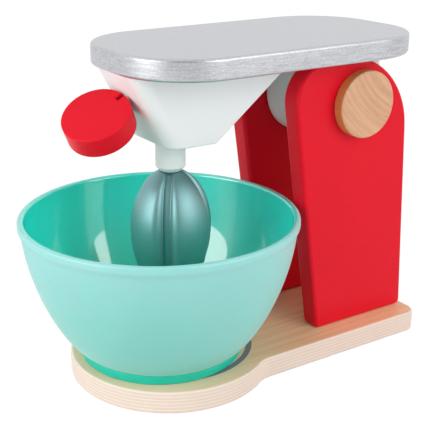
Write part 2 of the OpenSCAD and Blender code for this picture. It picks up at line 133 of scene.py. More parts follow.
def stretched_noise(tree: Tree, spot: Socket, sizes: Sequence[float],
                    detail: float = 2.0, roughness: float = 0.5, distortion: float = 0.0) -> Socket:
    """Add noise whose features have their own size along each axis.

    Args:
        tree: Node tree that receives the nodes.
        spot: Place on the surface.
        sizes: Size of a feature along X, Y and Z in millimetres.
        detail: Number of finer layers.
        roughness: Share of the finer layers.
        distortion: Amount by which the pattern bends.

    Returns:
        The noise, from zero to one.
    """
    scaled = add_node(tree, "Mapping", {"Vector": spot, "Scale": [per_metre(size) for size in sizes]})
    noise = add_node(tree, "TexNoise", {
        "Vector": scaled.outputs["Vector"], "Scale": 1.0, "Detail": detail, "Roughness": roughness,
        "Distortion": distortion})
    return noise.outputs["Fac"]


def emboss(tree: Tree, shader: Node, height: Socket, strength: float, depth: float) -> None:
    """Bump a shader's surface by a pattern.

    Args:
        tree: Node tree that receives the node.
        shader: Principled shader that gets the bump.
        height: The pattern.
        strength: Share of the bump that shows.
        depth: Depth of the pattern in millimetres.
    """
    relief = add_node(tree, "Bump", {"Height": height, "Strength": strength, "Distance": depth * MM})
    tree.links.new(relief.outputs["Normal"], shader.inputs["Normal"])


# Finishes

@dataclass(frozen=True)
class Finish:
    """A surface finish: name, colour and gloss. Subclasses add the pattern that the eye sees."""

    name: str
    colour: str
    roughness: float
    metallic: float = 0.0
    ior: float = 1.5

    def material(self) -> bpy.types.Material:
        """Return the finish's material, which is made on first use.

        Returns:
            The material.
        """
        made = bpy.data.materials.get(self.name)
        if made:
            return made
        made = bpy.data.materials.new(self.name)
        made.use_nodes = True
        shader = made.node_tree.nodes["Principled BSDF"]
        shader.inputs["Base Color"].default_value = linear(self.colour)
        shader.inputs["Roughness"].default_value = self.roughness
        shader.inputs["Metallic"].default_value = self.metallic
        if not self.metallic:
            shader.inputs["IOR"].default_value = self.ior
        self.pattern(made.node_tree, shader)
        return made

    def pattern(self, tree: Tree, shader: Node) -> None:
        """Add the pattern's nodes to the shader; a plain finish has none."""


@dataclass(frozen=True)
class SandedPlywood(Finish):
    """Birch plywood, sanded and waxed, with the printed ring that shows where the bowl goes."""

    streak: str = "#eeb182"
    ply_long: str = "#f6e6d8"
    ply_cross: str = "#f0d8c8"
    glue: str = "#cc9d84"
    ink: str = "#7f7a85"
    # Painted light at the bowl's end, which fades along this span of X into painted shade behind.
    painted_light: str = "#ffd9c0"
    painted_light_x: Point = (-35.0, 75.0)
    board_t: float = 12.5
    plies: int = 13
    streak_l: float = 70.0
    streak_w: float = 3.2
    fibre_l: float = 11.0
    fibre_w: float = 0.5
    fibre_depth: float = 0.04
    ring_r: float = 43.2
    ring_w: float = 3.2

    def pattern(self, tree: Tree, shader: Node) -> None:
        """Lay streaked veneer on the faces, stacked plies at the edges and the ring on top.

        Args:
            tree: Node tree of the material.
            shader: Principled shader that gets the colour and the bump.
        """
        coords = add_node(tree, "TexCoord")
        spot = coords.outputs["Object"]
        axes = add_node(tree, "SeparateXYZ", {"Vector": spot})
        # Rotary-cut birch has long soft streaks, with fine short fibres in them.
        streaks = stretched_noise(tree, spot, (self.streak_l, self.streak_w, self.streak_w),
                                  detail=4.0, distortion=0.8)
        fibres = stretched_noise(tree, spot, (self.fibre_l, self.fibre_w, self.fibre_w))
        both = add_node(tree, "Math", {0: fibres, 1: 0.45, 2: streaks}, operation="MULTIPLY_ADD")
        tone = add_node(tree, "MapRange", {"Value": both.outputs[0], "From Min": 0.45, "From Max": 1.0})
        # Painted light and shade: the veneer is painted paler at the bowl's end, where light reaches under
        # the bowl, and darker and warmer behind, in the shade between the panels.
        drift = add_node(tree, "MapRange", {
            "Value": axes.outputs["X"], "From Min": self.painted_light_x[0] * MM, "From Max": self.painted_light_x[1] * MM})
        painted_light_ground = blend(tree, drift.outputs["Result"], linear(self.painted_light), linear(self.colour))
        painted_shade_streak = blend(tree, drift.outputs["Result"], linear(self.colour), linear(self.streak))
        veneer = blend(tree, tone.outputs["Result"], painted_light_ground, painted_shade_streak)
        # Plies lie long and across by turns, and the glue between them shows as a thin dark line.
        phase = add_node(tree, "Math", {
            0: axes.outputs["Z"], 1: math.pi * self.plies / (self.board_t * MM)}, operation="MULTIPLY")
        wave = add_node(tree, "Math", {0: phase.outputs[0]}, operation="SINE")
        turn = add_node(tree, "MapRange", {"Value": wave.outputs[0], "From Min": -0.25, "From Max": 0.25})
        stack = blend(tree, turn.outputs["Result"], linear(self.ply_cross), linear(self.ply_long))
        depth = add_node(tree, "Math", {0: wave.outputs[0]}, operation="ABSOLUTE")
        line = add_node(tree, "MapRange", {
            "Value": depth.outputs[0], "From Max": 0.45, "To Min": 0.5, "To Max": 0.0})
        broken = add_node(tree, "MapRange", {
            "Value": streaks, "From Min": 0.35, "From Max": 0.6, "To Min": 0.2})
        glued = add_node(tree, "Math", {
            0: line.outputs["Result"], 1: broken.outputs["Result"]}, operation="MULTIPLY")
        edge = blend(tree, glued.outputs[0], stack, linear(self.glue))
        facing = add_node(tree, "SeparateXYZ", {"Vector": coords.outputs["Normal"]})
        level = add_node(tree, "Math", {0: facing.outputs["Z"]}, operation="ABSOLUTE")
        flat = add_node(tree, "MapRange", {"Value": level.outputs[0], "From Min": 0.8, "From Max": 0.97})
        wood = blend(tree, flat.outputs["Result"], edge, veneer)
        # The ring is printed in grey ink around the whisk's axis.
        flat_spot = add_node(tree, "CombineXYZ", {"X": axes.outputs["X"], "Y": axes.outputs["Y"]})
        reach = add_node(tree, "VectorMath", {0: flat_spot.outputs[0]}, operation="LENGTH")
        inked = add_node(tree, "Math", {
            0: reach.outputs["Value"], 1: self.ring_r * MM, 2: self.ring_w / 2 * MM}, operation="COMPARE")
        upward = add_node(tree, "Math", {0: facing.outputs["Z"], 1: 0.97}, operation="GREATER_THAN")
        printed = add_node(tree, "Math", {
            0: inked.outputs[0], 1: upward.outputs[0]}, operation="MULTIPLY")
        colour = blend(tree, printed.outputs[0], wood, linear(self.ink))
        tree.links.new(colour, shader.inputs["Base Color"])
        emboss(tree, shader, fibres, strength=0.5, depth=self.fibre_depth)


@dataclass(frozen=True)
class TurnedBeech(Finish):
    """Beech, turned and oiled: bent growth rings with the short dark flecks of its rays."""

    streak: str = "#b4744a"
    edge: str = "#cf8748"
    pith: Point = (138.0, 184.0)
    ring_l: float = 45.0
    ring_w: float = 2.6
    fleck_l: float = 2.4
    fleck_w: float = 0.35
    grain_depth: float = 0.05

    def pattern(self, tree: Tree, shader: Node) -> None:
        """Bend the grain around the pith, which lies outside the piece, and set flecks along it.

        Args:
            tree: Node tree of the material.
            shader: Principled shader that gets the colour and the bump.
        """
        coords = add_node(tree, "TexCoord")
        pith = (self.pith[0] * MM, 0.0, self.pith[1] * MM)
        away = add_node(tree, "VectorMath", {0: coords.outputs["Object"], 1: pith}, operation="SUBTRACT")
        axes = add_node(tree, "SeparateXYZ", {"Vector": away.outputs["Vector"]})
        across = add_node(tree, "CombineXYZ", {"X": axes.outputs["X"], "Z": axes.outputs["Z"]})
        reach = add_node(tree, "VectorMath", {0: across.outputs[0]}, operation="LENGTH")
        rings = add_node(tree, "CombineXYZ", {
            "X": axes.outputs["X"], "Y": reach.outputs["Value"], "Z": axes.outputs["Y"]})
        grain = stretched_noise(tree, rings.outputs[0], (self.ring_l, self.ring_w, self.ring_l),
                                detail=5.0, roughness=0.6, distortion=0.4)
        flecks = stretched_noise(tree, rings.outputs[0], (self.fleck_l, self.fleck_w, self.fleck_w),
                                 detail=1.0)
        dots = add_node(tree, "MapRange", {
            "Value": flecks, "From Min": 0.6, "From Max": 0.75, "To Max": 0.35})
        tone = add_node(tree, "MapRange", {
            "Value": grain, "From Min": 0.38, "From Max": 0.72, "To Max": 0.5})
        both = add_node(tree, "Math", {
            0: tone.outputs["Result"], 1: dots.outputs["Result"]}, operation="ADD", use_clamp=True)
        # Surfaces that do not face along Y, such as a cap's rim, are darker and warmer than the faces.
        facing = add_node(tree, "SeparateXYZ", {"Vector": coords.outputs["Normal"]})
        level = add_node(tree, "Math", {0: facing.outputs["Y"]}, operation="ABSOLUTE")
        flat = add_node(tree, "MapRange", {"Value": level.outputs[0], "From Min": 0.1, "From Max": 0.4})
        wood = blend(tree, flat.outputs["Result"], linear(self.edge), linear(self.colour))
        colour = blend(tree, both.outputs[0], wood, linear(self.streak))
        tree.links.new(colour, shader.inputs["Base Color"])
        emboss(tree, shader, grain, strength=0.4, depth=self.grain_depth)


@dataclass(frozen=True)
class SprayedPaint(Finish):
    """Lacquer sprayed on sanded wood: an even colour with a faint orange peel."""

    thin: str = "#000000"
    peel: float = 1.3
    peel_depth: float = 0.02
    cloud: float = 26.0

    def pattern(self, tree: Tree, shader: Node) -> None:
        """Ripple the lacquer and let its tone drift a little over the piece.

        Args:
            tree: Node tree of the material.
            shader: Principled shader that gets the colour and the bump.
        """
        coords = add_node(tree, "TexCoord")
        drift = add_node(tree, "TexNoise", {
            "Vector": coords.outputs["Object"], "Scale": per_metre(self.cloud)})
        part = add_node(tree, "MapRange", {
            "Value": drift.outputs["Fac"], "From Min": 0.35, "From Max": 0.75, "To Max": 0.5})
        colour = blend(tree, part.outputs["Result"], linear(self.colour), linear(self.thin))
        peel = add_node(tree, "TexNoise", {
            "Vector": coords.outputs["Object"], "Scale": per_metre(self.peel), "Detail": 1.0})
        tree.links.new(colour, shader.inputs["Base Color"])
        emboss(tree, shader, peel.outputs["Fac"], strength=0.5, depth=self.peel_depth)


@dataclass(frozen=True)
class FlakePaint(Finish):
    """Silver lacquer with aluminium flake: a satin metal sheen with a fine sparkle."""

    dark_flake: str = "#a9abaf"
    # A real flake is under 0.05 mm; it is drawn coarser so that the sparkle shows.
    flake: float = 0.55
    flake_depth: float = 0.02
    brush: float = 0.0
    brush_l: float = 9.0
    brush_w: float = 0.35

    def pattern(self, tree: Tree, shader: Node) -> None:
        """Scatter flakes that differ in tone and tilt, and draw brush marks on upright sides.

        Args:
            tree: Node tree of the material.
            shader: Principled shader that gets the colour and the bump.
        """
        coords = add_node(tree, "TexCoord")
        flakes = add_node(tree, "TexNoise", {
            "Vector": coords.outputs["Object"], "Scale": per_metre(self.flake), "Roughness": 0.7})
        part = add_node(tree, "MapRange", {
            "Value": flakes.outputs["Fac"], "From Min": 0.4, "From Max": 0.7, "To Max": 0.6})
        # A brush leaves fine level marks on a board's edge.
        marks = stretched_noise(tree, coords.outputs["Object"], (self.brush_l, self.brush_l, self.brush_w),
                                detail=3.0, roughness=0.6)
        facing = add_node(tree, "SeparateXYZ", {"Vector": coords.outputs["Normal"]})
        flat = add_node(tree, "Math", {0: facing.outputs["Z"]}, operation="ABSOLUTE")
        share = add_node(tree, "MapRange", {
            "Value": flat.outputs[0], "From Min": 0.3, "From Max": 0.8,
            "To Min": self.brush, "To Max": 0.0})
        brushed = add_node(tree, "MapRange", {
            "Value": marks, "From Min": 0.42, "From Max": 0.7, "To Max": share.outputs["Result"]})
        both = add_node(tree, "Math", {
            0: part.outputs["Result"], 1: brushed.outputs["Result"]}, operation="ADD", use_clamp=True)
        colour = blend(tree, both.outputs[0], linear(self.colour), linear(self.dark_flake))
        tree.links.new(colour, shader.inputs["Base Color"])
        emboss(tree, shader, flakes.outputs["Fac"], strength=0.6, depth=self.flake_depth)


@dataclass(frozen=True)
class MouldedPlastic(Finish):
    """Polypropylene or nylon from a mould: milky and slightly translucent."""

    milky: float = 0.0
    skin: float = 0.0
    skin_roughness: float = 0.05
    skin_ior: float = 2.0
    haze: float = 0.0
    haze_roughness: float = 0.4
    # Painted shade: a darker, more saturated colour towards the foot, over this span of heights.
    painted_shade: str = ""
    painted_shade_z: Point = (18.0, 88.0)
    glow: Triple = (0.2, 6.0, 5.0)
    grain: float = 0.9
    grain_depth: float = 0.01

    def pattern(self, tree: Tree, shader: Node) -> None:
        """Let light through the wall and give the skin the mould's fine grain.

        Args:
            tree: Node tree of the material.
            shader: Principled shader that gets the light and the bump.
        """
        shader.inputs["Coat Weight"].default_value = self.skin
        shader.inputs["Coat Roughness"].default_value = self.skin_roughness
        shader.inputs["Coat IOR"].default_value = self.skin_ior
        shader.inputs["Sheen Weight"].default_value = self.haze
        shader.inputs["Sheen Roughness"].default_value = self.haze_roughness
        shader.inputs["Subsurface Weight"].default_value = self.milky
        shader.inputs["Subsurface Radius"].default_value = self.glow
        shader.inputs["Subsurface Scale"].default_value = MM
        coords = add_node(tree, "TexCoord")
        grain = add_node(tree, "TexNoise", {
            "Vector": coords.outputs["Object"], "Scale": per_metre(self.grain)})
        if self.painted_shade:
            # Painted shade: the colour is darker and more saturated towards the foot, where less light
            # falls.
            axes = add_node(tree, "SeparateXYZ", {"Vector": coords.outputs["Object"]})
            up = add_node(tree, "MapRange", {
                "Value": axes.outputs["Z"], "From Min": self.painted_shade_z[0] * MM,
                "From Max": self.painted_shade_z[1] * MM})
            colour = blend(tree, up.outputs["Result"], linear(self.painted_shade), linear(self.colour))
            tree.links.new(colour, shader.inputs["Base Color"])
        gloss = add_node(tree, "MapRange", {
            "Value": grain.outputs["Fac"], "To Min": self.roughness * 0.9, "To Max": self.roughness * 1.1})
        tree.links.new(gloss.outputs["Result"], shader.inputs["Roughness"])
        emboss(tree, shader, grain.outputs["Fac"], strength=0.4, depth=self.grain_depth)


@dataclass(frozen=True)
class DrawnSteel(Finish):
    """Bright drawn steel: fine lengthwise marks that blur its reflections."""

    mark_l: float = 6.0
    mark_w: float = 0.3

    def pattern(self, tree: Tree, shader: Node) -> None:
        """Vary the gloss along the drawing marks.

        Args:
            tree: Node tree of the material.
            shader: Principled shader that gets the roughness.
        """
        coords = add_node(tree, "TexCoord")
        marks = stretched_noise(tree, coords.outputs["Object"], (self.mark_w, self.mark_w, self.mark_l))
        gloss = add_node(tree, "MapRange", {
            "Value": marks, "To Min": self.roughness * 0.6, "To Max": self.roughness * 1.5})
        tree.links.new(gloss.outputs["Result"], shader.inputs["Roughness"])


PLYWOOD = SandedPlywood("birch_plywood_sanded", "#ffdab2", 0.5)
RED = SprayedPaint("red_lacquer_sprayed", "#ea1229", 0.4, ior=1.25, thin="#e11226")
WHITE = SprayedPaint("white_lacquer_sprayed", "#f1f4f4", 0.42, thin="#eceff0")
SILVER = FlakePaint("silver_flake_lacquer", "#cfd0d4", 0.36, metallic=0.85, dark_flake="#97999e",
                    brush=0.55)
# The whisk's silver and its flakes are tinted teal: a painted reflection of the bowl around it.
WHISK_SILVER_PAINTED_REFLECTION = FlakePaint("silver_flake_lacquer_painted_reflection", "#84aeb0", 0.48, metallic=0.8, dark_flake="#749ea0",
                          flake_depth=0.006)
BEECH = TurnedBeech("beech_turned", "#e2b28d", 0.45)
# The outside is painted darker towards the foot, as shade.
BOWL_OUTSIDE = MouldedPlastic("polypropylene_moulded_satin", "#90d6d3", 0.5, ior=2.2, milky=0.8, haze=0.4,
                              painted_shade="#52cbbc")
BOWL_INSIDE = MouldedPlastic("polypropylene_moulded_gloss", "#08e4d0", 0.45, ior=1.9, milky=1.0, skin=1.0,
                             glow=(0.2, 9.0, 8.0), grain_depth=0.002)
# The foot ring's deeper, matt teal is partly its thicker wall and partly painted shade low on the bowl.
BOWL_FOOT_PAINTED_SHADE = MouldedPlastic("polypropylene_moulded_matt_painted_shade", "#08caae", 0.5, milky=0.6)
STEEL = DrawnSteel("steel_drawn", "#b9bdc2", 0.3, metallic=1.0)
NYLON = MouldedPlastic("nylon_moulded", "#efece2", 0.5, milky=0.1, glow=(1.0, 1.0, 0.9))


# Outlines and meshes

def arc(centre: Point, radius: float, start: float, end: float, steps: int) -> list[Point]:
    """Return points along an arc, both ends included.

    Args:
        centre: Middle of the arc.
        radius: Its radius.
        start: First angle in degrees.
        end: Last angle in degrees; less than start for a clockwise arc.
        steps: Number of straight steps.

    Returns:
        The points in order.
    """
    angles = [math.radians(start + (end - start) * i / steps) for i in range(steps + 1)]
    return [(centre[0] + radius * math.cos(a), centre[1] + radius * math.sin(a)) for a in angles]


def rounded(corners: Sequence[Point], radii: Sequence[float], steps: int) -> list[Point]:
    """Round the corners of a closed outline.

    Args:
        corners: Corner points in order.
        radii: Radius of each corner; zero keeps it sharp.
        steps: Straight steps in each round.

    Returns:
        The outline's points.
    """
    points = []
    for i, (corner, radius) in enumerate(zip(corners, radii)):
        here = Vector(corner)
        if not radius:
            points.append(corner)
            continue
        back = (Vector(corners[i - 1]) - here).normalized()
        ahead = (Vector(corners[(i + 1) % len(corners)]) - here).normalized()
        half = back.angle(ahead) / 2
        middle = here + (back + ahead).normalized() * radius / math.sin(half)
        first = here + back * radius / math.tan(half) - middle
        last = here + ahead * radius / math.tan(half) - middle
        start = math.atan2(first.y, first.x)
        sweep = math.remainder(math.atan2(last.y, last.x) - start, math.tau)
        points += arc(middle, radius, math.degrees(start), math.degrees(start + sweep), steps)
    return points


def eased_board(outline: Sequence[Point], thickness: float, ease: float, steps: int = 4) -> Mesh:
    """Saw a board along an outline and round over its two rims.

    Args:
        outline: Points in the XY plane.
        thickness: Size along Z, from zero upwards.
        ease: Radius of the rounded rims.
        steps: Faces across a rim's round.

    Returns:
        The board's mesh.
    """
    mesh = bmesh.new()
    bottom = mesh.faces.new([mesh.verts.new((x, y, 0)) for x, y in outline])
    grown = bmesh.ops.extrude_face_region(mesh, geom=[bottom], use_keep_orig=True)
    top = [v for v in grown["geom"] if isinstance(v, bmesh.types.BMVert)]
    bmesh.ops.translate(mesh, verts=top, vec=(0, 0, thickness))
    bmesh.ops.recalc_face_normals(mesh, faces=mesh.faces)
    rims = [e for e in mesh.edges if e.verts[0].co.z == e.verts[1].co.z]
    bmesh.ops.bevel(mesh, geom=rims, offset=ease, segments=steps, profile=0.5, affect="EDGES")
    return mesh


def turned(profile: Sequence[Point], segments: int, finish_numbers: Sequence[int] = ()) -> Mesh:
    """Turn a profile about Z, as on a lathe.

    Args:
        profile: Points (radius, height); a radius of zero closes the shape on the axis.
        segments: Number of faces around.
        finish_numbers: Finish of each step of the profile; the first one if left out.

    Returns:
        The turned mesh.
    """
    mesh = bmesh.new()
    rings = []
    for radius, height in profile:
        ring = arc((0, 0), radius, 0, 360, segments)[:-1] if radius else [(0, 0)]
        rings.append([mesh.verts.new((x, y, height)) for x, y in ring])
    for k, (lower, upper) in enumerate(zip(rings, rings[1:])):
        for i in range(segments):
            around = [ring[(i + step) % len(ring)] for ring, step in
                      ((lower, 0), (lower, 1), (upper, 1), (upper, 0))]
            face = mesh.faces.new(list(dict.fromkeys(around)))
            face.material_index = finish_numbers[k] if finish_numbers else 0
    return mesh


def place(mesh: Mesh, node: str, body: str, slot: str, *finishes: Finish) -> None:
    """Turn a mesh in millimetres into the piece that stands for a CAD node.

    Args:
        mesh: The finished mesh, which is used up.
        node: CAD node that the piece replaces.
        body: Body that it moves with.
        slot: Material slot of the record; not used.
        finishes: Finishes in the order of the mesh's material numbers.
    """
    bmesh.ops.recalc_face_normals(mesh, faces=mesh.faces)
    bmesh.ops.scale(mesh, vec=(MM, MM, MM), verts=mesh.verts)
    data = bpy.data.meshes.new(node + "_piece")
    mesh.to_mesh(data)
    mesh.free()
    for finish in finishes:
        data.materials.append(finish.material())
    data.shade_smooth()
    data.set_sharp_from_angle(angle=SHARP_EDGE)
    piece = bpy.data.objects.new(data.name, data)
    bpy.context.scene.collection.objects.link(piece)
    shading = piece.modifiers.new("flat_faces", "WEIGHTED_NORMAL")
    shading.keep_sharp = True
    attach(piece, body)
    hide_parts(node)
    log.info("%s: %d faces, rides on %s", piece.name, len(data.polygons), body)


def dress(finish: Finish, *nodes: str) -> None:
    """Give CAD nodes that stay as they are their finish.

    Args:
        finish: Finish for all of them.
        nodes: Names of the nodes.
    """
    for node in nodes:
        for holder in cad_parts[node].material_slots:
            holder.material = finish.material()
        log.info("%s: %s", node, finish.name)


# Sub-assemblies

@dataclass
class Base:
    """Plywood base: round under the bowl, straight behind, with the screws that hold the panels."""

    thickness: float = 12.5
    width: float = 90.0
    round_r: float = 55.5
    round_x: float = -1.5
    rear_x: float = 147.0
    rear_r: float = 8.0
    neck_r: float = 16.0
    ease: float = 1.5
    screw_x: Point = (92.5, 130.5)
    screw_y: Point = (-25.75, 25.75)
    sink_r: float = 4.15
    sink_h: float = 0.4
    hole_r: float = 2.15
    hole_z: float = 2.4

    def outline(self) -> list[Point]:
        """Return the base's outline, anticlockwise from the near rear corner.

        Returns:
            The outline's points.
        """
        side_y = self.width / 2
        neck_y = side_y + self.neck_r
        run = math.sqrt((self.round_r + self.neck_r) ** 2 - neck_y ** 2)
        neck_x = self.round_x + run
        lean = math.degrees(math.atan2(neck_y, run))
        corner = (self.rear_x - self.rear_r, side_y - self.rear_r)
        return (arc((corner[0], -corner[1]), self.rear_r, -90, 0, steps=10)
                + arc(corner, self.rear_r, 0, 90, steps=10)
                + arc((neck_x, neck_y), self.neck_r, -90, lean - 180, steps=14)
                + arc((self.round_x, 0), self.round_r, lean, 360 - lean, steps=120)[1:-1]
                + arc((neck_x, -neck_y), self.neck_r, 180 - lean, 90, steps=14))

    def countersink(self, mesh: Mesh) -> None:
        """Open the underside for the screw heads.

        Args:
            mesh: The base's mesh, which is changed.
        """
        underside = min(mesh.faces, key=lambda face: face.calc_center_median().z)
        rims = list(underside.edges)
        bmesh.ops.delete(mesh, geom=[underside], context="FACES_ONLY")
        for x, y in ((x, y) for x in self.screw_x for y in self.screw_y):
            sink = turned([(self.sink_r, 0), (self.sink_r, self.sink_h), (self.hole_r, self.hole_z),
                           (0, self.hole_z)], segments=32)
            sink.transform(Matrix.Translation((x, y, 0)))
            wall = bpy.data.meshes.new("countersink")
            sink.to_mesh(wall)
            sink.free()
            mesh.from_mesh(wall)
            bpy.data.meshes.remove(wall)
        rims += [e for e in mesh.edges if e.is_boundary and e not in rims]
        bmesh.ops.triangle_fill(mesh, use_beauty=True, edges=rims)

    def build(self) -> None:
        """Build and dress the base and its fasteners."""
        board = eased_board(self.outline(), self.thickness, self.ease)
        self.countersink(board)
        place(board, "base_board", "frame", "plywood_base", PLYWOOD)
        dress(STEEL, "panel_screws")
        dress(BEECH, "panel_dowels")


@dataclass
class Column:
    """Two red panels on the base."""

    thickness: float = 12.5
    gap: float = 39.0
    foot_z: float = 12.5
    top_z: float = 169.0
    front_foot_x: float = 78.5
    front_top_x: float = 54.8
    back_foot_x: float = 144.5
    back_top_x: float = 135.8
    front_r: float = 21.5
    back_r: float = 46.0
    foot_r: float = 3.0
    ease: float = 2.25

    def panel(self, side: Side) -> Mesh:
        """Saw one panel and stand it on its side of the column.

        Args:
            side: Side of the mixer.

        Returns:
            The panel's mesh.
        """
        corners = [(self.front_foot_x, self.foot_z), (self.back_foot_x, self.foot_z),
                   (self.back_top_x, self.top_z), (self.front_top_x, self.top_z)]
        radii = [self.foot_r, self.foot_r, self.back_r, self.front_r]
        mesh = eased_board(rounded(corners, radii, steps=20), self.thickness, self.ease)
        start_y = self.gap / 2 + self.thickness if side is Side.FAR else -self.gap / 2
        mesh.transform(Matrix.Translation((0, start_y, 0)) @ Matrix.Rotation(math.radians(90), 4, "X"))
        return mesh

    def build(self) -> None:
        """Build and dress both panels."""
        for side in Side:
            place(self.panel(side), "column_panel_" + side.name.lower(), "frame", "red_paint", RED)


@dataclass
class Hinge:
    """Axle with its round caps and friction washers."""

    x: float = 101.5
    z: float = 143.7
    panel_face_y: float = 32.0
    cap_d: float = 37.0
    cap_t: float = 7.0
    ease: float = 1.1

    def cap(self, side: Side) -> Mesh:
        """Turn one cap and set it against its panel.

        Args:
            side: Side of the mixer.

        Returns:
            The cap's mesh.
        """
        mesh = eased_board(arc((0, 0), self.cap_d / 2, 0, 360, steps=96)[:-1], self.cap_t, self.ease)
        quarter = Matrix.Rotation(math.radians(-90 * side.value), 4, "X")
        mesh.transform(Matrix.Translation((self.x, side.value * self.panel_face_y, self.z)) @ quarter)
        return mesh

    def build(self) -> None:
        """Build and dress the caps, and dress the hidden pieces."""
        for side in Side:
            place(self.cap(side), "hinge_cap_" + side.name.lower(), "frame", "beech", BEECH)
        dress(BEECH, "hinge_axle")
        dress(NYLON, "hinge_washers")


@dataclass
class Bowl:
    """Moulded bowl with a lip and a foot ring, satin outside and glossy inside."""

    x: float = -7.189
    z: float = 12.5
    rim_r: float = 75.0
    height: float = 78.8
    wall: float = 2.4
    low_wall: float = 3.9
    # Place on the wall's curve above which it is thin, and the run over which it thickens below.
    thin_from: float = 0.75
    thin_run: float = 0.35
    foot_r: float = 44.5
    foot_h: float = 4.5
    foot_wall: float = 3.0
    shoulder_drop: float = 0.4
    shoulder_rise: float = 0.6
    shoulder_in: float = 0.3
    shoulder_r: float = 0.5
    floor_run: float = 11.0
    turn_h: float = 45.7
    lip_out: float = 1.2
    lip_h: float = 4.0
    lip_run: float = 2.0
    edge_r: float = 0.7
    rim_edge_r: float = 1.7
    join_gap: float = 1.0
    steps: int = 40
    hidden_steps: int = 4
    lip_steps: int = 6

    def curve(self, s: float) -> Vector:
        """Return a point on the wall's outer curve.

        Args:
            s: Place on the curve, from the foot at 0 to the rim at 1.

        Returns:
            Radius and height.
        """
        u = 1 - s
        start_r = self.foot_r - self.foot_wall
        body_r = self.rim_r - self.lip_out
        return (u ** 3 * Vector((start_r, self.foot_h))
                + 3 * s * u * u * Vector((start_r + self.floor_run, self.foot_h))
                + 3 * s * s * u * Vector((body_r, self.turn_h))
                + s ** 3 * Vector((body_r, self.height)))

    def inner(self, s: float) -> Vector:
        """Return the point across the wall from the outer curve; the wall thickens downwards.

        Args:
            s: Place on the curve, from the foot at 0 to the rim at 1.

        Returns:
            Radius and height.
        """
        nudge = 0.01
        run = (self.curve(s + nudge) - self.curve(s - nudge)).normalized()
        low = min(max((self.thin_from - s) / self.thin_run, 0), 1)
        wall = self.wall + (self.low_wall - self.wall) * low * low * (3 - 2 * low)
        return self.curve(s) + wall * Vector((-run.y, run.x))

    def build(self) -> None:
        """Turn the bowl from its profile and dress both sides."""
        body_r = self.rim_r - self.lip_out
        ring_in = self.foot_r - self.foot_wall
        foot = rounded([(ring_in, self.foot_h), (ring_in, 0), (self.foot_r, 0),
                        (self.foot_r, self.foot_h - self.shoulder_drop),
                        (self.foot_r - self.shoulder_in, self.foot_h + self.shoulder_rise)],
                       [0, self.edge_r, self.edge_r, self.shoulder_r, 0], steps=4)
        lip_low = self.height - self.lip_h
        lip = rounded([(body_r, lip_low - self.lip_run), (self.rim_r, lip_low),
                       (self.rim_r, self.height), (body_r - self.wall, self.height),
                       (body_r - self.wall, self.height - 2 * self.rim_edge_r)],
                      [0, self.lip_run, self.rim_edge_r, self.rim_edge_r, 0], self.lip_steps)
        outer = [tuple(self.curve(s / self.steps)) for s in range(self.hidden_steps, self.steps + 1)]
        outer = [p for p in outer if p[1] < lip[0][1] - self.join_gap]
        inner = [tuple(self.inner(s / self.steps)) for s in range(self.steps, 0, -1)]
        inner = [(min(r, body_r - self.wall), z) for r, z in inner if z < lip[-1][1] - self.join_gap]
        profile = [(0, self.foot_h)] + foot + outer + lip + inner + [(0, self.foot_h + self.low_wall)]
        # The gloss of the inside starts at the rim's inner round, which ends the lip.
        inside_from = 1 + len(foot) + len(outer) + len(lip) - (self.lip_steps + 2)
        # The foot ring takes the finish with the painted shade.
        outside, inside, underside = range(3)
        numbers = ([underside] * len(foot) + [outside] * (inside_from - len(foot))
                   + [inside] * (len(profile) - inside_from))
        mesh = turned(profile, segments=160, finish_numbers=numbers)
        mesh.transform(Matrix.Translation((self.x, 0, self.z)))
        place(mesh, "bowl", "bowl", "teal_bowl", BOWL_OUTSIDE, BOWL_INSIDE, BOWL_FOOT_PAINTED_SHADE)


